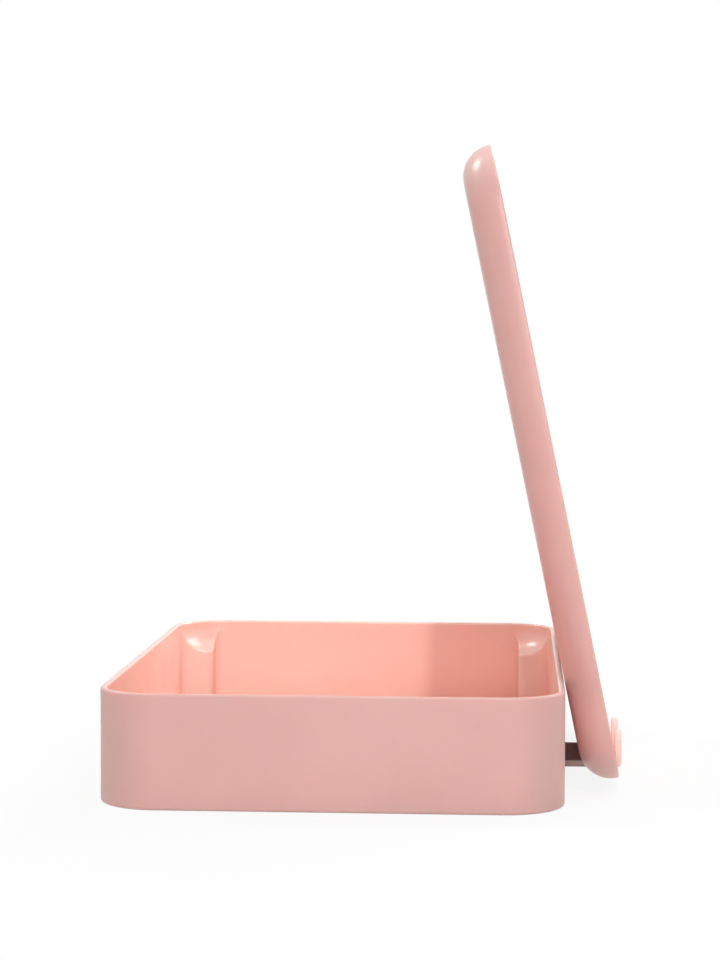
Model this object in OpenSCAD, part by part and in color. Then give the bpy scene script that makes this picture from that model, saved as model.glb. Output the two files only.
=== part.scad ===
// Bobbin box: a shallow moulded tray, and a lid that lifts off and stands upright in a forked
// stand on the tray's side, leaning back against the rim.
// Origin: centre of the tray's underside. +X points to the stand, +Z up. Millimetres.

/* [Tray] */
// Width of the tray, across the side that carries the stand
tray_w = 105; // [80:1:160]
// Length of the tray
tray_l = 150; // [100:1:220]
// Height of the tray, underside to rim
tray_h = 26; // [20:0.5:45]
// Outer radius of the four upright corners, shared by tray and lid
corner_r = 14; // [12:0.5:20]
// Thickness of every moulded wall
wall_t = 1.5; // [1.2:0.1:2]
// Thickness of the tray's floor
floor_t = 1.5; // [1.2:0.1:2.5]
// Rounding of the rim's two edges
rim_r = 0.5; // [0.2:0.05:0.55]
// Rounding of the outer bottom edge
base_r = 0.7; // [0.3:0.1:1]
// Fillet between floor and walls inside
floor_fillet = 1; // [0.5:0.1:2]

/* [Corner posts] */
// How far each post reaches in from the outer faces of the tray
post_reach = 10.2; // [10:0.1:14]
// Level of a post's top below the rim
post_drop = 7.5; // [7:0.5:12]
// Radius of the scoop that carries a post's top up the corner wall
scoop_r = 6; // [3:0.5:6.5]
// Rounding of a post's free upright edge
post_edge_r = 2.4; // [0.8:0.1:2.8]
// Fillet where a post's faces meet the walls
post_root_r = 2; // [0.5:0.1:2.5]

/* [Magnets] */
// Diameter of the disc magnets
magnet_d = 5; // [4:0.1:5.4]
// Thickness of the magnets in the posts
post_magnet_t = 5; // [2:0.1:6]
// Thickness of the magnets in the lid
lid_magnet_t = 3; // [1.5:0.1:3]
// Plastic left over a post's magnet
magnet_cover = 1; // [0.8:0.1:2]

/* [Lid] */
// Height of the lid, rim to outer face
lid_h = 8; // [6.5:0.1:9.5]
// Straight part of the lid's rim below its rounded edge
lid_land = 0.5; // [0.5:0.1:1]
// Rounding of the rim's outer edge
lid_rim_r = 0.4; // [0.2:0.05:0.45]
// Diameter of the bosses that hold the lid's magnets
boss_d = 7.6; // [7:0.1:9]
// Angle at which the lid leans over the tray when it stands
lid_lean = 11.8; // [8:0.1:16]

/* [Lid stand] */
// Width of the stand along the tray's side
stand_w = 28; // [20:1:60]
// Thickness of the stand
stand_t = 1.5; // [1.2:0.1:2]
// Level of the stand's underside above the ground
stand_z = 0.8; // [0.5:0.1:1.5]
// Width of each of its two lugs
lug_w = 7; // [4:0.5:9]
// Height of the lugs above the plate
lug_h = 6.9; // [4:0.1:12]
// Rounding of the lugs' top corners
lug_r = 2.3; // [0.5:0.1:3]
// Rounding of the stand's outer bottom edge
stand_edge_r = 1; // [0.3:0.1:1.1]
// Length of the tongue that lies under the tray's floor
tongue_l = 15; // [12:1:25]
// Diameter of the heat stakes that hold the tongue
stake_d = 3; // [2:0.1:4]

/* [Fits] */
// Gap between the standing lid and what it leans on
rest_gap = 0.2; // [0.1:0.05:0.4]
// Clearance round magnets, plugs and stakes
press_gap = 0.05; // [0.02:0.01:0.1]
// Clearance between the tongue and the sides of its pocket
pocket_gap = 0.15; // [0.05:0.05:0.4]

/* [Hidden] */
$fn = 64;

// Overlap that carries a cut clear of the face it starts from
cut = 1;

shell_pink = [0.90, 0.68, 0.66];
plug_pink = [0.80, 0.58, 0.56];
magnet_silver = [0.72, 0.73, 0.75];

// Straight lengths of the outline between its corners
side_w = tray_w - 2 * corner_r;
side_l = tray_l - 2 * corner_r;

// Posts: the magnet's axis stands midway between a post's faces and the rounded corner behind
post_top = tray_h - post_drop;
bore_d = magnet_d + 2 * press_gap;
face_axis = post_reach - bore_d / 2;
corner_axis = corner_r - (corner_r - bore_d / 2) / sqrt(2);
magnet_in = (face_axis + corner_axis) / 2;
magnet_x = tray_w / 2 - magnet_in;
magnet_y = tray_l / 2 - magnet_in;
bore_top = post_top - magnet_cover;
plug_h = bore_top - post_magnet_t;

// Stand: its tongue lies in a pocket under a raised pad of the floor
plate_top = stand_z + stand_t;
pocket_w = stand_w + 2 * pocket_gap;
pocket_l = tongue_l + pocket_gap;
pad_w = pocket_w + 2 * wall_t;
pad_l = pocket_l + wall_t;
pad_top = plate_top + floor_t;
stake_x = tray_w / 2 - tongue_l / 2 - wall_t / 2;
stake_y = stand_w / 4;
stake_head_t = stand_z / 2;
stake_head_d = 1.6 * stake_d;

// Lid at rest. The lid's own axes are: v up its length, w from its outer face to its rim.
// It leans on the tray's rounded rim, stands on the plate, and its rim reaches the lugs.
lid_edge_r = lid_h - lid_land;
round_x = corner_r - lid_edge_r;
lean_x = tray_w / 2 - rim_r + (rim_r + rest_gap) * cos(lid_lean);
lean_z = tray_h - rim_r + (rim_r + rest_gap) * sin(lid_lean);
foot_round_z = plate_top + rest_gap + lid_edge_r;
foot_v = (foot_round_z - lid_edge_r * sin(lid_lean) - lean_z) / cos(lid_lean) - lid_edge_r;
foot_x = lean_x - foot_v * sin(lid_lean) + lid_h * cos(lid_lean);
lug_in = foot_x + rest_gap;
stand_out = lug_in + stand_t;

// Lid magnets lie over the posts' magnets when the box is closed
lid_bore_h = lid_magnet_t + rest_gap;

// Rounded rectangle w by l, made of true arcs
module plan(w, l, r) {
    square([w - 2 * r, l], center = true);
    square([w, l - 2 * r], center = true);
    for (sx = [-1, 1], sy = [-1, 1])
        translate([sx * (w / 2 - r), sy * (l / 2 - r)])
            circle(r);
}

// Carries a wall profile round the rounded rectangle of the tray's outline. In the profile,
// x runs outwards from the axis of a corner, so that the outer face is at corner_r.
module carry_round() {
    for (turn = [0, 1]) rotate(180 * turn) {
        translate([side_w / 2, side_l / 2])
            rotate_extrude(angle = 90) children();
        translate([side_w / 2, side_l / 2])
            rotate([90, 0, 0]) linear_extrude(side_l) children();
        translate([side_w / 2, -side_l / 2]) rotate(-90)
            rotate_extrude(angle = 90) children();
        translate([-side_w / 2, side_l / 2]) rotate([90, 0, 90])
            linear_extrude(side_w) children();
    }
}

// One corner's worth of children, repeated at the four corners by reflection
module each_corner() {
    for (sx = [0, 1], sy = [0, 1])
        mirror([sx, 0, 0]) mirror([0, sy, 0]) children();
}

// Concave fillet in the corner between a floor on y = 0 and a wall on x = 0.
// It fills x from -r to 0, and runs a little way into both.
module cove(r, into) {
    difference() {
        translate([-r, -into]) square(r + into);
        translate([-r, r]) circle(r);
    }
}

// Section of the tray: floor, wall, rounded rim and rounded bottom edge
module tray_profile() {
    square([corner_r - base_r, floor_t]);
    translate([corner_r - base_r, base_r]) circle(base_r);
    translate([corner_r - wall_t, base_r])
        square([wall_t, tray_h - rim_r - base_r]);
    translate([corner_r - wall_t + rim_r, tray_h - 2 * rim_r])
        square([wall_t - 2 * rim_r, 2 * rim_r]);
    for (x = [corner_r - wall_t + rim_r, corner_r - rim_r])
        translate([x, tray_h - rim_r]) circle(rim_r);
    translate([corner_r - wall_t, floor_t]) cove(floor_fillet, base_r);
}

// Fillet where one face of a post meets the wall, drawn round the axis of the tray's corner.
// It touches the post's face at y = flank, and the inner wall, which may be curved there.
module post_root() {
    flank = corner_r - post_reach;
    root_y = flank - post_root_r;
    bend_y = max(root_y, 0);
    root_x = sqrt(pow(corner_r - wall_t - post_root_r, 2) - pow(bend_y, 2));
    outward = [root_x, bend_y] / norm([root_x, bend_y]);
    difference() {
        polygon([
            [root_x, root_y],
            [root_x, root_y] + outward * (post_root_r + wall_t / 2),
            [corner_r, flank + post_edge_r],
            [root_x, flank + post_edge_r]
        ]);
        translate([root_x, root_y]) circle(post_root_r);
    }
}

// Plan of one post at the corner (+x, +y), with its free edge rounded and its roots filleted
module post_plan() {
    flank = corner_r - post_reach;
    intersection() {
        plan(tray_w - wall_t, tray_l - wall_t, corner_r - wall_t / 2);
        translate([side_w / 2, side_l / 2]) {
            translate([flank + post_edge_r, flank]) square(post_reach);
            translate([flank, flank + post_edge_r]) square(post_reach);
            translate([flank + post_edge_r, flank + post_edge_r]) circle(post_edge_r);
            for (turn = [0, 1]) mirror([turn, -turn]) post_root();
        }
    }
}

// The corner posts: each top is flat at its free edge, and sweeps up the wall behind in a scoop
module posts() {
    linear_extrude(post_top) each_corner() post_plan();
    intersection() {
        linear_extrude(tray_h) each_corner() post_plan();
        carry_round()
            translate([corner_r - wall_t, post_top]) cove(scoop_r, wall_t / 2);
    }
}

// A stake moulded under the pad, with the head that heat forms below the tongue
module stake() {
    translate([0, 0, stand_z - stake_head_t]) {
        cylinder(d = stake_d, h = stake_head_t + stand_t + floor_t / 2);
        cylinder(d1 = stake_d, d2 = stake_head_d, h = stake_head_t);
    }
}

module tray() {
    color(shell_pink) {
        difference() {
            union() {
                carry_round() tray_profile();
                linear_extrude(floor_t) square([side_w, side_l], center = true);
                posts();
                translate([tray_w / 2 - pad_l, -pad_w / 2, 0])
                    cube([pad_l - wall_t / 2, pad_w, pad_top]);
            }
            each_corner()
                translate([magnet_x, magnet_y, -cut]) cylinder(d = bore_d, h = bore_top + cut);
            translate([tray_w / 2 - pocket_l, -pocket_w / 2, -cut])
                cube([pocket_l + cut, pocket_w, plate_top + cut]);
        }
        for (side = [-1, 1])
            translate([stake_x, side * stake_y, 0]) stake();
    }
}

// Section of the stand along X: plate, and upright with a rounded outer corner
module stand_profile() {
    start_x = tray_w / 2 - tongue_l;
    translate([start_x, stand_z])
        square([stand_out - stand_edge_r - start_x, stand_t]);
    translate([lug_in, stand_z + stand_edge_r])
        square([stand_t, plate_top + lug_h - stand_z - stand_edge_r]);
    translate([stand_out - stand_edge_r, stand_z + stand_edge_r])
        circle(stand_edge_r);
}

// Outline of the two lugs seen along X, standing on the full width of the plate
module lug_outline() {
    translate([-stand_w / 2, 0]) square([stand_w, plate_top]);
    for (side = [0, 1]) mirror([side, 0])
        translate([stand_w / 2 - lug_w, 0]) {
            square([lug_w, plate_top + lug_h - lug_r]);
            translate([lug_r, 0]) square([lug_w - 2 * lug_r, plate_top + lug_h]);
            for (y = [lug_r, lug_w - lug_r])
                translate([y, plate_top + lug_h - lug_r]) circle(lug_r);
        }
}

module lid_stand() {
    color(shell_pink) difference() {
        intersection() {
            rotate([90, 0, 0])
                linear_extrude(stand_w, center = true) stand_profile();
            rotate([90, 0, 90]) linear_extrude(stand_out) lug_outline();
        }
        for (side = [-1, 1])
            translate([stake_x, side * stake_y, 0])
                cylinder(d = stake_d + 2 * press_gap, h = plate_top + cut);
    }
}

// A disc magnet at the top of one post's bore
module post_magnet(sx, sy) {
    color(magnet_silver)
        translate([sx * magnet_x, sy * magnet_y, bore_top - post_magnet_t])
            cylinder(d = magnet_d, h = post_magnet_t);
}

// The plug that closes one post's bore, level with the underside, and holds the magnet up
module post_plug(sx, sy) {
    color(plug_pink)
        translate([sx * magnet_x, sy * magnet_y, 0])
            cylinder(d = magnet_d, h = plug_h);
}

// Puts a lid drawn rim down, in the place it has on the closed tray, into its standing place
module standing() {
    translate([lean_x, 0, lean_z])
        rotate([0, -lid_lean, 0])
            translate([0, 0, foot_v])
                rotate([90, 0, -90])
                    translate([0, tray_l / 2, -lid_h]) children();
}

// Outer section of the lid: a rounded edge over a short straight rim with softened edges
module lid_section() {
    translate([round_x, lid_land]) intersection() {
        circle(lid_edge_r);
        square(lid_edge_r);
    }
    square([round_x, lid_h]);
    translate([0, lid_rim_r]) square([corner_r, lid_land - lid_rim_r]);
    square([corner_r - lid_rim_r, lid_land]);
    translate([corner_r - lid_rim_r, lid_rim_r]) circle(lid_rim_r);
}

// The hollow of the lid in section, one wall inside its outer form
module lid_hollow_section() {
    inner_r = lid_edge_r - wall_t;
    translate([0, -cut]) square([round_x, lid_h - wall_t + cut]);
    translate([round_x, lid_land]) intersection() {
        circle(inner_r);
        square(inner_r);
    }
    translate([0, -cut]) square([round_x + inner_r, lid_land + cut]);
}

// Bosses that hold the magnets, trimmed where the lid's rounded edge passes them
module lid_bosses() {
    intersection() {
        each_corner()
            translate([magnet_x, magnet_y, 0]) cylinder(d = boss_d, h = lid_h - wall_t / 2);
        carry_round() lid_section();
    }
}

module lid() {
    color(shell_pink) standing() difference() {
        union() {
            carry_round() difference() {
                lid_section();
                lid_hollow_section();
            }
            translate([0, 0, lid_h - wall_t])
                linear_extrude(wall_t) square([side_w, side_l], center = true);
            lid_bosses();
        }
        each_corner()
            translate([magnet_x, magnet_y, -cut]) cylinder(d = bore_d, h = lid_bore_h + cut);
    }
}

// A disc magnet in one of the lid's bosses
module lid_magnet(sx, sy) {
    color(magnet_silver) standing()
        translate([sx * magnet_x, sy * magnet_y, rest_gap])
            cylinder(d = magnet_d, h = lid_magnet_t);
}

tray();
lid_stand();
post_magnet(-1, -1);  // post_magnet_front_left
post_magnet(1, -1);  // post_magnet_front_right
post_magnet(-1, 1);  // post_magnet_back_left
post_magnet(1, 1);  // post_magnet_back_right
post_plug(-1, -1);  // post_plug_front_left
post_plug(1, -1);  // post_plug_front_right
post_plug(-1, 1);  // post_plug_back_left
post_plug(1, 1);  // post_plug_back_right
lid();
lid_magnet(1, -1);  // lid_magnet_foot_front
lid_magnet(-1, -1);  // lid_magnet_foot_back
lid_magnet(1, 1);  // lid_magnet_top_front
lid_magnet(-1, 1);  // lid_magnet_top_back
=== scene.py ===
"""Looks of the bobbin box: a moulded tray, its lid standing in a forked stand, and the magnets."""

import math

import bmesh
import bpy
import numpy as np
from mathutils import Matrix, Vector


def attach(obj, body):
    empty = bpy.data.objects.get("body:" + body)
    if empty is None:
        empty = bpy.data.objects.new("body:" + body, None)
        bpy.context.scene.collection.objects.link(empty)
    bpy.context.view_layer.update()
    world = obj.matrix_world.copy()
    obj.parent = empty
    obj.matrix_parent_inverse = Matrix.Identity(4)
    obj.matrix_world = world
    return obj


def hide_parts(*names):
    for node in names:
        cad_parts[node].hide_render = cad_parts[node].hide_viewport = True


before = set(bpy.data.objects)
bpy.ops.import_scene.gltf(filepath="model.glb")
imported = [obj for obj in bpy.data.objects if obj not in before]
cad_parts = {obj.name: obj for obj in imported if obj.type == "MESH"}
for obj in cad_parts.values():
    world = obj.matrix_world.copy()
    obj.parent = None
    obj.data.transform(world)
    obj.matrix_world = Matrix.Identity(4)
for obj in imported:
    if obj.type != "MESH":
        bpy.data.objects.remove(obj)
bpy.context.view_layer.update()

# ---------------------------------------------------------------------------------------------
# Tray: one moulded piece of pale pink plastic, 1.5 mm thick. Its walls run round rounded corners,
# and in each corner a square post with filleted roots rises to a scooped top.
# All lengths here are millimetres, and MM turns them into the scene's metres.
# ---------------------------------------------------------------------------------------------
MM = 0.001
TRAY_W, TRAY_L, TRAY_H = 105.0, 150.0, 26.0
CORNER_R, WALL_T, FLOOR_T = 14.0, 1.5, 1.5
RIM_R, BASE_R, FLOOR_FILLET = 0.5, 0.7, 1.0
POST_REACH, POST_DROP, SCOOP_R = 10.2, 7.5, 6.0
POST_EDGE_R, POST_ROOT_R, POST_TOP_ROUND = 2.4, 2.0, 0.8
INNER_R = CORNER_R - WALL_T
POST_TOP = TRAY_H - POST_DROP
CORNER_AXIS = np.array([TRAY_W / 2 - CORNER_R, TRAY_L / 2 - CORNER_R])
SIDE_STEPS = 36
SHARP_DEGREES = 32


def arc(centre, radius, start, end, steps):
    """Points of a circle: centre + radius * (cos a, sin a), a going from start to end degrees."""
    a = np.radians(np.linspace(start, end, steps + 1))
    return np.stack([centre[0] + radius * np.cos(a), centre[1] + radius * np.sin(a)], 1)


def line(start, end, steps):
    """Evenly spaced points of the straight line from start to end, both included."""
    t = np.linspace(0, 1, steps + 1)[:, None]
    return np.array(start) * (1 - t) + np.array(end) * t


def loft(rows):
    """Faces between consecutive closed rows of points: each row joins the next point by point,
    and its last column joins its first. Returns points (rows * columns, 3) and quads."""
    grid = np.asarray(rows, float)
    n_rows, n_cols = grid.shape[:2]
    index = np.arange(n_rows * n_cols).reshape(n_rows, n_cols)
    right = np.roll(index, -1, 1)
    quads = np.stack([index[:-1], right[:-1], right[1:], index[1:]], -1)
    return grid.reshape(-1, 3), quads.reshape(-1, 4).tolist()


def capped(rows):
    """The loft of the rows, closed by one flat face over its first row and one over its last."""
    points, faces = loft(rows)
    n = len(rows[0])
    return points, faces + [list(range(n)), list(range(len(points) - n, len(points)))]


def weld(mesh, distance):
    """Merges points closer than the distance in millimetres, and turns all faces outwards."""
    work = bmesh.new()
    work.from_mesh(mesh)
    bmesh.ops.remove_doubles(work, verts=work.verts, dist=distance * MM)
    bmesh.ops.recalc_face_normals(work, faces=work.faces)
    work.to_mesh(mesh)
    work.free()


def smooth(mesh):
    """Shades every face smooth, and keeps edges that turn by more than SHARP_DEGREES crisp."""
    mesh.polygons.foreach_set("use_smooth", np.ones(len(mesh.polygons), bool))
    mesh.set_sharp_from_angle(angle=math.radians(SHARP_DEGREES))
    mesh.update()


def piece(name, points, faces):
    """A mesh object from points in millimetres."""
    mesh = bpy.data.meshes.new(name)
    mesh.from_pydata((points * MM).tolist(), [], faces)
    weld(mesh, 0.002)
    smooth(mesh)
    obj = bpy.data.objects.new(name, mesh)
    bpy.context.scene.collection.objects.link(obj)
    return obj


def combine(obj, tools, operation):
    """Applies the Boolean operation between obj and each tool in turn, and removes the tools."""
    for tool in tools:
        step = obj.modifiers.new(operation.lower(), "BOOLEAN")
        step.operation, step.solver, step.object = operation, "MANIFOLD", tool
    bpy.context.view_layer.update()
    graph = bpy.context.evaluated_depsgraph_get()
    mesh = bpy.data.meshes.new_from_object(obj.evaluated_get(graph))
    mesh.materials.clear()
    obj.modifiers.clear()
    old, obj.data = obj.data, mesh
    bpy.data.meshes.remove(old)
    for tool in tools:
        bpy.data.objects.remove(tool)
    weld(mesh, 0.0005)
    smooth(mesh)


def even_out(obj):
    """Lets large flat faces set the normals along their edges, so that no shade creeps in."""
    even = obj.modifiers.new("even_out", "WEIGHTED_NORMAL")
    even.keep_sharp = True


def level(points, height):
    """The points of a plan, lifted to one height or to a height each."""
    return np.column_stack([points, np.broadcast_to(height, len(points))])


def turned(name, profile, centre, steps=48, place=np.asarray, turn=0.0):
    """A solid of revolution: each (radius, height) of the profile goes round the upright axis
    through centre, from turn radians on, and place then puts the points where they belong. A
    radius of 0 at both ends closes the solid."""
    a = turn + np.linspace(0, 2 * np.pi, steps, endpoint=False)
    profile = np.asarray(profile, float)
    rows = np.stack([
        centre[0] + profile[:, :1] * np.cos(a),
        centre[1] + profile[:, :1] * np.sin(a),
        profile[:, 1:] + 0 * a,
    ], -1)
    return piece(name, *loft(place(rows)))


def quarter_turns(points, count):
    """The points of a plan turned about the origin by count right angles."""
    c, s = ((1, 0), (0, 1), (-1, 0), (0, -1))[count % 4]
    return points @ np.array([[c, s], [-s, c]])


def corner_columns():
    """The cavity's outline round one corner, drawn about the axis of the tray's corner: wall,
    root fillet, flank, rounded free edge, and the same again mirrored. Returns the outline,
    the wall point that faces each of its points, and the wall's outward direction there."""
    flank = CORNER_R - POST_REACH
    root_y = flank - POST_ROOT_R
    root_x = math.sqrt((INNER_R - POST_ROOT_R) ** 2 - root_y ** 2)
    start = math.degrees(math.atan2(root_y, root_x))
    free = flank + POST_EDGE_R
    half = np.vstack([
        arc((root_x, root_y), POST_ROOT_R, start, 90, 14),
        line((root_x, flank), (free, flank), 14)[1:],
        arc((free, free), POST_EDGE_R, 270, 225, 8)[1:],
    ])
    post = np.vstack([half, half[::-1, ::-1][1:]])
    run = np.r_[0, np.cumsum(np.linalg.norm(np.diff(post, axis=0), axis=1))]
    angle = np.radians(start + run / run[-1] * (90 - 2 * start))
    lead = np.radians(np.linspace(0, start, 5)[:-1])
    angle = np.r_[lead, angle, np.pi / 2 - lead[::-1]]
    outward = np.stack([np.cos(angle), np.sin(angle)], 1)
    wall = outward * INNER_R
    outline = wall.copy()
    outline[len(lead):len(lead) + len(post)] = post
    return outline, wall, outward


def tray_columns():
    """The corner's columns turned into the four corners, with the straight sides between."""
    centres = np.array([[1, 1], [-1, 1], [-1, -1], [1, -1]]) * CORNER_AXIS
    parts = []
    for k in range(4):
        outline, wall, outward = [quarter_turns(p, k) for p in corner_columns()]
        parts.append((outline + centres[k], wall + centres[k], outward))
        next_wall = quarter_turns(np.array([INNER_R, 0]), k + 1) + centres[(k + 1) % 4]
        side = line(wall[-1] + centres[k], next_wall, SIDE_STEPS)[1:-1]
        parts.append((side, side, np.tile(outward[-1], (len(side), 1))))
    return [np.vstack([p[i] for p in parts]) for i in range(3)]


def scoop_height(points):
    """Height of a post's top over points of its plan: level, then up a quarter circle that ends
    at the wall. The distance from the wall is the corner's inner radius less the length of what
    |x| and |y| exceed the corner's axis by."""
    beyond = np.maximum(np.abs(points) - CORNER_AXIS, 0)
    distance = np.maximum(INNER_R - np.linalg.norm(beyond, axis=1), 0)
    left = np.clip(SCOOP_R - distance, 0, SCOOP_R)
    return POST_TOP + SCOOP_R - np.sqrt(SCOOP_R ** 2 - left ** 2)


def tray_rows():
    """Rows of the tray, from the foot of its cavity, up over the posts to the wall, round the
    rim, and down the outside to the edge of its underside. A post's top edge is a parabola from
    its side to its top, and is smaller where the post is shallow."""
    outline, wall, outward = tray_columns()
    along = np.roll(outline, -1, 0) - np.roll(outline, 1, 0)
    along /= np.linalg.norm(along, axis=1, keepdims=True)
    inward = np.stack([-along[:, 1], along[:, 0]], 1)
    rows = []
    for a in np.radians(np.linspace(0, 90, 7)):
        rows.append(level(outline + inward * FLOOR_FILLET * (1 - math.sin(a)),
                          FLOOR_T + FLOOR_FILLET * (1 - math.cos(a))))

    depth = np.linalg.norm(wall - outline, axis=1)
    no_post = depth < 1e-6
    scoop_top = POST_TOP + SCOOP_R
    rounding = np.minimum(POST_TOP_ROUND, 0.3 * depth)
    after = outline + (wall - outline) * (rounding / np.maximum(depth, 1e-9))[:, None]
    edge_z = scoop_height(outline)
    start_z = np.where(no_post, scoop_top, edge_z - rounding)
    after_z = np.where(no_post, scoop_top, scoop_height(after))
    for t in np.linspace(0, 1, 7):
        mix = ((1 - t) ** 2, 2 * t * (1 - t), t ** 2)
        rows.append(level((mix[0] + mix[1]) * outline + mix[2] * after,
                          mix[0] * start_z + mix[1] * np.maximum(edge_z, start_z)
                          + mix[2] * after_z))
    for t in np.linspace(0, 1, 19)[1:]:
        near = after + (wall - after) * (1 - (1 - t) ** 2)
        rows.append(level(near, scoop_height(near) if t < 1 else scoop_top))

    for a in np.radians(np.linspace(0, 90, 6)):
        rows.append(level(wall + outward * RIM_R * (1 - math.cos(a)),
                          TRAY_H - RIM_R * (1 - math.sin(a))))
    for a in np.radians(np.linspace(0, 90, 6)):
        rows.append(level(wall + outward * (WALL_T - RIM_R * (1 - math.sin(a))),
                          TRAY_H - RIM_R * (1 - math.cos(a))))
    for a in np.radians(np.linspace(0, 90, 6)):
        rows.append(level(wall + outward * (WALL_T - BASE_R * (1 - math.cos(a))),
                          BASE_R * (1 - math.sin(a))))
    return rows


tray = piece("moulded_tray", *capped(tray_rows()))

# What the tray's floor carries: a raised pad over the stand's tongue, the pocket that the tongue
# sits in, two stakes through it whose heads were melted over, and a bore up each post. CUT takes
# a cutting solid clear of the faces it starts from, and BORE_TURN keeps the points of a bore off
# those of the surfaces it cuts.
STAND_W, STAND_T, STAND_Z, TONGUE_L, POCKET_GAP = 28.0, 1.5, 0.8, 15.0, 0.15
PAD_R, PAD_EDGE_R, PAD_FOOT_R, POCKET_R = 1.2, 0.4, 0.5, 0.2
PAD_INTO_WALL, PAD_ROOT, PAD_SINK = 0.95, 0.9, 0.05
STAKE_R, STAKE_TOP, CUT = 1.5, 3.1, 1.0
STAKE_HEAD = [(0, 0.4), (1.0, 0.42), (1.9, 0.55), (2.35, 0.72), (2.4, STAND_Z)]
MAGNET_R, MAGNET_X, MAGNET_Y, MAGNET_COVER, PRESS_GAP = 2.5, 45.723, 68.223, 1.0, 0.05
BORE_R, BORE_TOP, BORE_TURN = MAGNET_R + PRESS_GAP, POST_TOP - MAGNET_COVER, 0.05
plate_top = STAND_Z + STAND_T
pocket_w = STAND_W + 2 * POCKET_GAP
pocket_start = TRAY_W / 2 - TONGUE_L - POCKET_GAP
stake_spots = [(TRAY_W / 2 - TONGUE_L / 2 - WALL_T / 2, side * STAND_W / 4) for side in (-1, 1)]
quadrants = [(sx, sy) for sx in (-1, 1) for sy in (-1, 1)]


def magnet_spot(sx, sy):
    """Where a corner's magnets stand, in the plan of the tray or of the lid."""
    return sx * MAGNET_X, sy * MAGNET_Y


def ring(width, length, radius, steps=10, middle=(0, 0), sides=1):
    """A rounded rectangle as one closed row of points, with steps to each corner's arc and
    sides to each straight."""
    corners = [(1, -1, -90), (1, 1, 0), (-1, 1, 90), (-1, -1, 180)]
    bends = [arc((middle[0] + sx * (width / 2 - radius), middle[1] + sy * (length / 2 - radius)),
                 radius, a, a + 90, steps) for sx, sy, a in corners]
    return np.vstack([np.vstack([bend, line(bend[-1], after[0], sides)[1:-1]])
                      for bend, after in zip(bends, bends[1:] + bends[:1])])


def stacked(width, length, radius, profile, steps=10, middle=(0, 0), sides=1):
    """Rows of a rounded rectangle that follows a profile: each (inset, height) makes one row,
    moved in by inset, and the first and last rows are drawn together to the middle."""
    rows = [level(ring(width - 2 * inset, length - 2 * inset, max(radius - inset, 0.05), steps,
                       middle, sides), height) for inset, height in profile]
    hub = [*middle, 0]
    return [rows[0] * [0, 0, 1] + hub, *rows, rows[-1] * [0, 0, 1] + hub]


def from_to(start, end, width, radius, profile):
    """The stack that runs along X from start to end, and is width wide about the X axis."""
    return stacked(end - start, width, radius, profile, middle=((start + end) / 2, 0))


pad_top = plate_top + FLOOR_T
foot_top = FLOOR_T - PAD_SINK + PAD_FOOT_R
bends = np.radians(np.linspace(0, 90, 6))
pad_profile = np.vstack([
    [(-PAD_FOOT_R, PAD_ROOT)],
    np.stack([PAD_FOOT_R * (np.sin(bends) - 1), foot_top - PAD_FOOT_R * np.cos(bends)], 1),
    np.stack([PAD_EDGE_R * (1 - np.cos(bends)), pad_top - PAD_EDGE_R * (1 - np.sin(bends))], 1),
])
pad = piece("pad", *loft(from_to(pocket_start - WALL_T, TRAY_W / 2 - WALL_T + PAD_INTO_WALL,
                                 pocket_w + 2 * WALL_T, PAD_R, pad_profile)))
pocket = piece("pocket", *loft(from_to(pocket_start, TRAY_W / 2 + 2 * CUT, pocket_w, POCKET_R,
                                       [(0, -CUT), (0, plate_top)])))
stakes = [turned("stake", [*STAKE_HEAD, (STAKE_R, STAND_Z), (STAKE_R, STAKE_TOP), (0, STAKE_TOP)],
                 spot, steps=32) for spot in stake_spots]
bores = [turned("bore", [(0, -CUT), (BORE_R, -CUT), (BORE_R, BORE_TOP), (0, BORE_TOP)],
                magnet_spot(sx, sy), turn=BORE_TURN) for sx, sy in quadrants]
combine(tray, [pad], "UNION")
combine(tray, [pocket] + bores, "DIFFERENCE")
combine(tray, stakes, "UNION")
even_out(tray)

# The plastic of every moulded piece, in linear colour: glossy where its mould was polished, and
# satin where the mould was etched. The polished faces, inside the tray and the lid, are painted
# lighter than the etched ones: painted light for the light that bounces round in the hollows.
# FLOW, GRAIN and WAVES are lumps to the metre, and RELIEF is how high they stand.
ETCHED_PINK = (0.715, 0.434, 0.398)
# Painted lighter: the inside's colour stands in for bright bounce light, not for a paler plastic.
POLISHED_PINK_PAINTED_LIGHTER = (0.98, 0.62, 0.54)
GLOSSY, SATIN = 0.19, 0.42
FLOW, GRAIN, WAVES, RELIEF = 45.0, 3200.0, 110.0, 0.03


def feed(tree, made, inputs):
    """Gives each input, by its name or number, a constant or the output that feeds it."""
    for socket, value in inputs.items():
        if isinstance(value, bpy.types.NodeSocket):
            tree.links.new(value, made.inputs[socket])
        else:
            made.inputs[socket].default_value = value


def node(tree, kind, inputs=None, **settings):
    """A shader node whose settings are its properties, with its inputs fed."""
    made = tree.nodes.new("ShaderNode" + kind)
    for name, value in settings.items():
        setattr(made, name, value)
    feed(tree, made, inputs or {})
    return made


def sums(tree, operation, *values):
    """What a Math node makes of the values."""
    return node(tree, "Math", dict(enumerate(values)), operation=operation).outputs["Value"]


def vectors(tree, operation, *values):
    """What a Vector Math node makes of the values: a vector, or its length."""
    made = node(tree, "VectorMath", dict(enumerate(values)), operation=operation)
    return made.outputs["Value" if operation == "LENGTH" else "Vector"]


def ramp(tree, value, start, end, low=0.0, high=1.0, **settings):
    """The value taken from start..end to low..high, and held at both ends."""
    return node(tree, "MapRange", {"Value": value, "From Min": start, "From Max": end,
                                   "To Min": low, "To Max": high}, **settings).outputs["Result"]


def noise(tree, where, scale, detail):
    """Soft noise with so many lumps to the metre."""
    return node(tree, "TexNoise", {"Vector": where, "Scale": scale,
                                   "Detail": detail}).outputs["Fac"]


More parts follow.
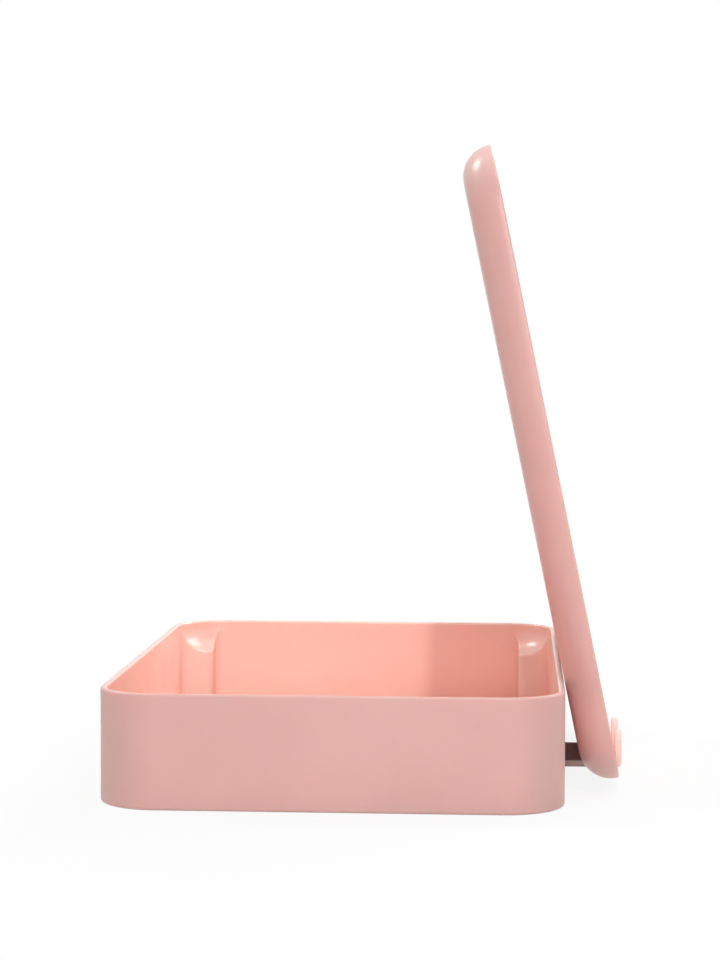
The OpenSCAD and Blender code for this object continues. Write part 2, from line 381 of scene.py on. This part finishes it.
def group(name, inputs, outputs):
    """An empty node group, with its inputs' outputs and its outputs' inputs, by name."""
    tree = bpy.data.node_groups.new(name, "ShaderNodeTree")
    for label, kind in inputs.items():
        tree.interface.new_socket(label, in_out="INPUT", socket_type="NodeSocket" + kind)
    for label, kind in outputs.items():
        tree.interface.new_socket(label, in_out="OUTPUT", socket_type="NodeSocket" + kind)
    return tree, tree.nodes.new("NodeGroupInput").outputs, tree.nodes.new("NodeGroupOutput").inputs


def new_material(name):
    """A material, its node tree, its shader, and the place on the piece that is shaded."""
    made = bpy.data.materials.new(name)
    made.use_nodes = True
    tree = made.node_tree
    return made, tree, tree.nodes["Principled BSDF"], node(tree, "TexCoord").outputs["Object"]


# The skin of moulded plastic: colour that flowed a little unevenly, a fine grain where the mould
# was etched, and the faint long waves of a thin wall that has cooled. The polished faces' colour
# is painted lighter than the etched faces', as painted light for the bright hollows
skin, given, made = group(
    "moulded_skin",
    {"Vector": "Vector", "Polished colour painted lighter": "Color", "Etched colour": "Color", "Etched": "Float",
     "Satin": "Float"},
    {"Colour": "Color", "Roughness": "Float", "Height": "Float"})
flow = noise(skin, given["Vector"], FLOW, 3.0)
pigment_and_painted_light = node(skin, "Mix", {0: given["Etched"], 6: given["Polished colour painted lighter"],
                             7: given["Etched colour"]}, data_type="RGBA").outputs[2]
grain = noise(skin, given["Vector"], GRAIN, 2.0)
waves = noise(skin, given["Vector"], WAVES, 1.0)
etched_grain = sums(skin, "MULTIPLY", grain, given["Etched"])
base_roughness = ramp(skin, given["Etched"], 0, 1, GLOSSY, given["Satin"])
for label, source in {
    "Colour": vectors(skin, "MULTIPLY", pigment_and_painted_light, ramp(skin, flow, 0.3, 0.7, 0.97, 1.03)),
    "Roughness": sums(skin, "MULTIPLY_ADD", flow, 0.05, base_roughness),
    "Height": sums(skin, "MULTIPLY_ADD", waves, 0.5, etched_grain),
}.items():
    skin.links.new(source, made[label])


def plastic(name, etched, satin=SATIN, etched_colour=ETCHED_PINK):
    """Moulded plastic. etched takes the material's tree and the place, and gives 1 where the
    mould was etched and 0 where it was polished; satin is the roughness that etching left."""
    material, tree, shader, where = new_material(name)
    surface = tree.nodes.new("ShaderNodeGroup")
    surface.node_tree = skin
    feed(tree, surface, {"Vector": where, "Polished colour painted lighter": (*POLISHED_PINK_PAINTED_LIGHTER, 1),
                         "Etched colour": (*etched_colour, 1), "Etched": etched(tree, where),
                         "Satin": satin})
    relief = node(tree, "Bump", {"Height": surface.outputs["Height"], "Strength": 0.5,
                                 "Distance": RELIEF * MM})
    tree.links.new(surface.outputs["Colour"], shader.inputs["Base Color"])
    tree.links.new(surface.outputs["Roughness"], shader.inputs["Roughness"])
    tree.links.new(relief.outputs["Normal"], shader.inputs["Normal"])
    shader.inputs["IOR"].default_value = 1.49
    shader.inputs["Subsurface Weight"].default_value = 0.5
    shader.inputs["Subsurface Radius"].default_value = (1.0, 0.4, 0.3)
    shader.inputs["Subsurface Scale"].default_value = 3 * MM
    return material


def past(tree, value, edge, blend):
    """0 below the edge and 1 above it, both in millimetres, with a soft step of 2 blend wide."""
    return ramp(tree, value, (edge - blend) * MM, (edge + blend) * MM)


def outside_tray(tree, where):
    """1 beyond the middle of the tray's wall and under its floor, 0 within: the distance from
    the corners' axes is the length of what |x| and |y| exceed them by."""
    axes = (*(CORNER_AXIS * MM).tolist(), 1.0)
    beyond = vectors(tree, "MAXIMUM", vectors(tree, "SUBTRACT", vectors(tree, "ABSOLUTE", where),
                                              axes), (0, 0, 0))
    side = past(tree, vectors(tree, "LENGTH", beyond), CORNER_R - WALL_T / 2, 0.3)
    depth = sums(tree, "MULTIPLY", node(tree, "SeparateXYZ", {0: where}).outputs["Z"], -1.0)
    return sums(tree, "MAXIMUM", side, past(tree, depth, -FLOOR_T / 2, 0.15))


tray.data.materials.append(plastic("tray_plastic", outside_tray))
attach(tray, "box")
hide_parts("tray")

# ---------------------------------------------------------------------------------------------
# Stand: a plate of the same plastic whose tongue is staked under the tray's floor, and which
# ends in two upright lugs with rounded tops. The lid's foot stands between them and the tray.
# ---------------------------------------------------------------------------------------------
LUG_IN, LUG_W, LUG_H, LUG_R = 65.84, 7.0, 6.9, 2.3
STAND_EDGE_R, STAND_ROOT_R, STAND_BEVEL = 1.0, 0.4, 0.22
# The stand's colour is painted paler than the tray's outside, though it is the same plastic:
# painted light that lifts the plate in the lid's shade and stands in for the light on the lugs.
STAND_PINK_PAINTED_PALER, STAND_SATIN = (0.97, 0.63, 0.59), 0.6


def extruded(name, outline, axis, start, end):
    """A prism: the outline's points at start and end of its run along the axis it lacks, with
    one face over each end."""
    return piece(name, *capped([np.insert(outline, axis, at, axis=1) for at in (start, end)]))


tongue_start = TRAY_W / 2 - TONGUE_L
stand_out = LUG_IN + STAND_T
lug_top = plate_top + LUG_H
stand_side = np.vstack([
    [(tongue_start, STAND_Z)],
    arc((stand_out - STAND_EDGE_R, STAND_Z + STAND_EDGE_R), STAND_EDGE_R, 270, 360, 10),
    [(stand_out, lug_top + CUT), (LUG_IN, lug_top + CUT)],
    arc((LUG_IN - STAND_ROOT_R, plate_top + STAND_ROOT_R), STAND_ROOT_R, 360, 270, 6),
    [(tongue_start, plate_top)],
])
lug = np.vstack([
    [(STAND_W / 2 - LUG_W, plate_top)],
    arc((STAND_W / 2 - LUG_W + LUG_R, lug_top - LUG_R), LUG_R, 180, 90, 12),
    arc((STAND_W / 2 - LUG_R, lug_top - LUG_R), LUG_R, 90, 0, 12),
])
fork = np.vstack([lug, [(STAND_W / 2, 0), (-STAND_W / 2, 0)], (lug * [-1, 1])[::-1]])
stand = extruded("forked_stand", stand_side, 1, -STAND_W / 2 - CUT, STAND_W / 2 + CUT)
hole_r, hole_top = STAKE_R + PRESS_GAP, plate_top + CUT
holes = [turned("hole", [(0, 0), (hole_r, 0), (hole_r, hole_top), (0, hole_top)], spot, steps=32)
         for spot in stake_spots]
combine(stand, [extruded("fork", fork, 0, tongue_start - CUT, stand_out + CUT)], "INTERSECT")
combine(stand, holes, "DIFFERENCE")
edges = stand.modifiers.new("edges", "BEVEL")
edges.width, edges.segments, edges.limit_method = STAND_BEVEL * MM, 3, "ANGLE"
edges.angle_limit = math.radians(50)


def all_over(tree, where):
    """1 everywhere: a piece whose whole mould was etched."""
    return 1.0


stand.data.materials.append(plastic("stand_plastic", all_over, STAND_SATIN, STAND_PINK_PAINTED_PALER))
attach(stand, "box")
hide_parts("lid_stand")

# ---------------------------------------------------------------------------------------------
# Post magnets and plugs: a nickel-plated disc pressed up to the top of each post's bore, held
# there by a matte plastic plug that ends level with the tray's underside.
# ---------------------------------------------------------------------------------------------
POST_MAGNET_T, MAGNET_EDGE_R, PLUG_EDGE_R = 5.0, 0.2, 0.25
PLUG_PINK = (0.72, 0.41, 0.37)
LIGHT_NICKEL, DULL_NICKEL = (0.70, 0.67, 0.62), (0.60, 0.58, 0.55)


def disc(radius, low, high, edge):
    """Profile of a disc with rounded edges, as (radius, height) from below."""
    lower = arc((radius - edge, low + edge), edge, 270, 360, 5)
    upper = arc((radius - edge, high - edge), edge, 0, 90, 5)
    return np.vstack([[(0, low)], lower, upper, [(0, high)]])


def nickel_plate():
    """Nickel over a pressed magnet: a bright coat over fine pits, a little duller in patches."""
    material, tree, shader, where = new_material("nickel")
    patches = noise(tree, where, 900.0, 3.0)
    pits = noise(tree, where, 9000.0, 2.0)
    tint = node(tree, "Mix", {0: ramp(tree, patches, 0.35, 0.65), 6: (*LIGHT_NICKEL, 1),
                              7: (*DULL_NICKEL, 1)}, data_type="RGBA").outputs[2]
    relief = node(tree, "Bump", {"Height": pits, "Strength": 0.4, "Distance": 0.01 * MM})
    tree.links.new(tint, shader.inputs["Base Color"])
    tree.links.new(ramp(tree, patches, 0.3, 0.7, 0.2, 0.36), shader.inputs["Roughness"])
    tree.links.new(relief.outputs["Normal"], shader.inputs["Normal"])
    shader.inputs["Metallic"].default_value = 1
    return material


nickel = nickel_plate()
plug_plastic = plastic("plug_plastic", all_over, etched_colour=PLUG_PINK)
magnet_base = BORE_TOP - POST_MAGNET_T
corner_names = {(-1, -1): "front_left", (1, -1): "front_right",
                (-1, 1): "back_left", (1, 1): "back_right"}
for (sx, sy), corner in corner_names.items():
    magnet = turned("post_disc_" + corner, disc(MAGNET_R, magnet_base, BORE_TOP, MAGNET_EDGE_R),
                    magnet_spot(sx, sy))
    plug = turned("plug_" + corner, disc(MAGNET_R, 0, magnet_base, PLUG_EDGE_R),
                  magnet_spot(sx, sy))
    magnet.data.materials.append(nickel)
    plug.data.materials.append(plug_plastic)
    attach(magnet, "box")
    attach(plug, "box")
    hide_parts("post_magnet_" + corner)
    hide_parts("post_plug_" + corner)

# ---------------------------------------------------------------------------------------------
# Lid: a shallow moulded cap of the same plastic, with a wide rounded edge and four bosses in its
# hollow for magnets. It's drawn lying on its outer face, then placed by lid_place: across is
# along the tray's side, up runs from its foot to its top, and depth from outer face to rim.
# ---------------------------------------------------------------------------------------------
LID_H, LID_LAND, LID_RIM_R, LID_LIP_R, REST_GAP = 8.0, 0.5, 0.4, 0.2, 0.2
LID_EDGE_R = LID_H - LID_LAND
LID_MAGNET_T, LID_SATIN = 3.0, 0.26
BOSS_R, BOSS_FOOT, BOSS_BELOW_RIM, BOSS_EDGE = 3.8, 0.7, 0.04, 0.15
LEAN = math.radians(11.8)
lean_x = TRAY_W / 2 - RIM_R + (RIM_R + REST_GAP) * math.cos(LEAN)
lean_z = TRAY_H - RIM_R + (RIM_R + REST_GAP) * math.sin(LEAN)
foot = ((plate_top + REST_GAP + LID_EDGE_R - LID_EDGE_R * math.sin(LEAN) - lean_z)
        / math.cos(LEAN) - LID_EDGE_R)


def lid_place(points):
    """Turns (across, up, depth) of the lid, measured from the middle of its outer face, into
    its place beside the tray: leaning back by LEAN, its outer face against the tray's rim."""
    across, up, depth = np.moveaxis(np.asarray(points, float), -1, 0)
    rise = foot + TRAY_L / 2 + up
    return np.stack([
        lean_x - rise * math.sin(LEAN) + depth * math.cos(LEAN),
        -across,
        lean_z + rise * math.cos(LEAN) + depth * math.sin(LEAN)], -1)


def cap(name, profile):
    """A closed cap whose rounded outline follows (inset, depth) from its face to its rim."""
    return piece(name, *loft(lid_place(stacked(TRAY_W, TRAY_L, CORNER_R, profile, 28, sides=24))))


def lid_edge(depth, steps):
    """(inset, depth) of the lid's wide edge at a depth below its outside, from face to side."""
    return arc((LID_EDGE_R, LID_EDGE_R), LID_EDGE_R - depth, 270, 180, steps)


lid_section = np.vstack([
    lid_edge(0, 16),
    arc((LID_RIM_R, LID_H - LID_RIM_R), LID_RIM_R, 180, 90, 5),
    arc((WALL_T - LID_LIP_R, LID_H - LID_LIP_R), LID_LIP_R, 90, 0, 3),
    lid_edge(WALL_T, 14)[::-1],
])
lid = cap("moulded_lid", lid_section)
boss_top = LID_H - BOSS_BELOW_RIM
boss_profile = [(0, BOSS_FOOT), (BOSS_R, BOSS_FOOT), (BOSS_R, boss_top - BOSS_EDGE),
                (BOSS_R - BOSS_EDGE, boss_top), (0, boss_top)]
within_lid = np.vstack([lid_edge(BOSS_FOOT, 12), [(BOSS_FOOT, LID_H)]])
lid_bore_low = LID_H - REST_GAP - LID_MAGNET_T
bore_profile = [(0, lid_bore_low), (BORE_R, lid_bore_low), (BORE_R, LID_H + CUT), (0, LID_H + CUT)]
for sx, sy in quadrants:
    boss = turned("boss", boss_profile, magnet_spot(sx, sy), place=lid_place)
    combine(boss, [cap("within_lid", within_lid)], "INTERSECT")
    combine(lid, [boss], "UNION")
lid_bores = [turned("bore", bore_profile, magnet_spot(sx, sy), place=lid_place, turn=BORE_TURN)
             for sx, sy in quadrants]
combine(lid, lid_bores, "DIFFERENCE")
even_out(lid)


def outside_lid(tree, where):
    """1 on the lid's outer half, 0 in its hollow. In the lid's own frame, the distance from the
    edge circle's centre is the length of (width beyond it, height short of it); the middle of
    the wall lies half a wall inside the outer radius."""
    own = node(tree, "Mapping", {"Vector": where, "Location": (lid_place([0, 0, 0]) * MM).tolist(),
                                 "Rotation": (0, -LEAN, 0)}, vector_type="TEXTURE")
    own = own.outputs["Vector"]
    axes = (1.0, *(CORNER_AXIS * MM).tolist())
    beyond = vectors(tree, "MAXIMUM", vectors(tree, "SUBTRACT", vectors(tree, "ABSOLUTE", own),
                                              axes), (0, 0, 0))
    out = sums(tree, "SUBTRACT", vectors(tree, "LENGTH", beyond), (CORNER_R - LID_EDGE_R) * MM)
    depth = node(tree, "SeparateXYZ", {0: own}).outputs["X"]
    short = sums(tree, "SUBTRACT", LID_EDGE_R * MM, depth)
    both = node(tree, "CombineXYZ", {0: sums(tree, "MAXIMUM", out, 0.0),
                                     1: sums(tree, "MAXIMUM", short, 0.0)}).outputs["Vector"]
    return past(tree, vectors(tree, "LENGTH", both), LID_EDGE_R - WALL_T / 2, 0.2)


lid.data.materials.append(plastic("lid_plastic", outside_lid, satin=LID_SATIN))
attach(lid, "lid")
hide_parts("lid")

# ---------------------------------------------------------------------------------------------
# Lid magnets: nickel-plated discs like those in the posts, but thinner. They're pressed into the
# bosses until they lie REST_GAP below the rim's level.
# ---------------------------------------------------------------------------------------------
lid_names = {(1, -1): "foot_front", (-1, -1): "foot_back",
             (1, 1): "top_front", (-1, 1): "top_back"}
lid_disc = disc(MAGNET_R, lid_bore_low, lid_bore_low + LID_MAGNET_T, MAGNET_EDGE_R)
for (sx, sy), corner in lid_names.items():
    magnet = turned("lid_disc_" + corner, lid_disc, magnet_spot(sx, sy), place=lid_place)
    magnet.data.materials.append(nickel)
    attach(magnet, "lid")
    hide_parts("lid_magnet_" + corner)

# ---------------------------------------------------------------------------------------------
# Studio: a pale floor that fades into white away from the box, under a dim surround that looks
# white too. A small hard key stands high in front, a wide soft light hangs over the box, two fill
# the front, and three behind it and to its sides make the glints.
# ---------------------------------------------------------------------------------------------
SURROUND, FLOOR_GREY = 0.06, 0.82
GROUND_WIDTH, GROUND_R, GROUND_Z = 9000, 4400, -0.02
GLOW_NEAR, GLOW_FAR, GLOW_LEAST = 80, 280, 0.88
AIM_Z = 30


def seen_directly(tree):
    """1 for rays that come straight from the eye, off gloss or through glass, 0 for others."""
    path = node(tree, "LightPath").outputs
    shown = sums(tree, "MAXIMUM", path["Is Camera Ray"], path["Is Glossy Ray"])
    return sums(tree, "MAXIMUM", shown, path["Is Transmission Ray"])


world = bpy.data.worlds.new("studio")
bpy.context.scene.world = world
world.use_nodes = True
backdrop = world.node_tree.nodes["Background"]
backdrop.inputs["Color"].default_value = (1, 1, 1, 1)
brightness = ramp(world.node_tree, seen_directly(world.node_tree), 0, 1, SURROUND, 1.0)
world.node_tree.links.new(brightness, backdrop.inputs["Strength"])

plane = ring(GROUND_WIDTH, GROUND_WIDTH, GROUND_R)
ground = piece("ground", *loft([level(plane * 0, GROUND_Z), level(plane, GROUND_Z)]))
floor_paint, tree, shader, where = new_material("pale_floor")
shader.inputs["Base Color"].default_value = (FLOOR_GREY, FLOOR_GREY, FLOOR_GREY, 1)
shader.inputs["Roughness"].default_value = 0.9
glow = node(tree, "Emission", {"Color": (1, 1, 1, 1), "Strength": 1.0})
fade = ramp(tree, vectors(tree, "LENGTH", where), GLOW_NEAR * MM, GLOW_FAR * MM, GLOW_LEAST, 1.0,
            interpolation_type="SMOOTHSTEP")
share = sums(tree, "MULTIPLY", seen_directly(tree), fade)
blend = node(tree, "MixShader", {0: share, 1: shader.outputs["BSDF"], 2: glow.outputs["Emission"]})
tree.links.new(blend.outputs["Shader"], tree.nodes["Material Output"].inputs["Surface"])
ground.data.materials.append(floor_paint)


def soft_light(name, azimuth, elevation, distance, size, brightness):
    """An area light that faces the box, with its distance and size in metres. Azimuth 0 is in
    front of it and 90 to its right, and brightness is that of a white matte surface that faces
    the light: a lamp of power P gives P / (pi * distance)^2 along its own axis."""
    a, e = math.radians(azimuth), math.radians(elevation)
    away = Vector((math.sin(a) * math.cos(e), -math.cos(a) * math.cos(e), math.sin(e)))
    data = bpy.data.lights.new(name, "AREA")
    data.shape = "RECTANGLE"
    data.size, data.size_y = size
    data.energy = brightness * math.pi ** 2 * distance ** 2
    lamp = bpy.data.objects.new(name, data)
    lamp.matrix_world = (Matrix.Translation(Vector((0, 0, AIM_Z * MM)) + away * distance)
                         @ away.to_track_quat("Z", "Y").to_matrix().to_4x4())
    bpy.context.scene.collection.objects.link(lamp)


soft_light("key", 8.3, 55, 2.0, (0.06, 0.06), 0.36)
soft_light("top", 0, 89.9, 0.5, (0.5, 0.45), 0.36)
soft_light("front", 16, 12, 1.6, (0.8, 0.6), 0.15)
soft_light("front_low", 0, 8, 1.6, (0.13, 0.2), 0.155)
soft_light("back", 147, 36, 1.3, (0.7, 0.6), 0.40)
soft_light("right_glint", 119, 36, 1.3, (0.24, 0.24), 0.12)
soft_light("left_glint", -115, 45, 1.3, (0.38, 0.38), 0.31)

# ---------------------------------------------------------------------------------------------
# Camera: a long lens in front of the box and a little to the right of its middle, level with
# the upper half of the lid. It looks slightly down and to the left.
# ---------------------------------------------------------------------------------------------
EYE = (39.79, -616.09, 102.73)
LEFT, DOWN, ROLL = (math.radians(a) for a in (3.466, 3.0663, 0.173))
LENS, SENSOR_HEIGHT = 93.03, 36
camera_data = bpy.data.cameras.new("camera")
camera_data.sensor_fit = "VERTICAL"
camera_data.sensor_height = SENSOR_HEIGHT
camera_data.lens = LENS
camera = bpy.data.objects.new("camera", camera_data)
bpy.context.scene.collection.objects.link(camera)
camera.matrix_world = (
    Matrix.Translation(Vector(EYE) * MM)
    @ Matrix.Rotation(LEFT, 4, "Z")
    @ Matrix.Rotation(math.pi / 2 - DOWN, 4, "X")
    @ Matrix.Rotation(ROLL, 4, "Z"))
bpy.context.scene.camera = camera
bpy.context.scene.view_settings.view_transform = "Standard"
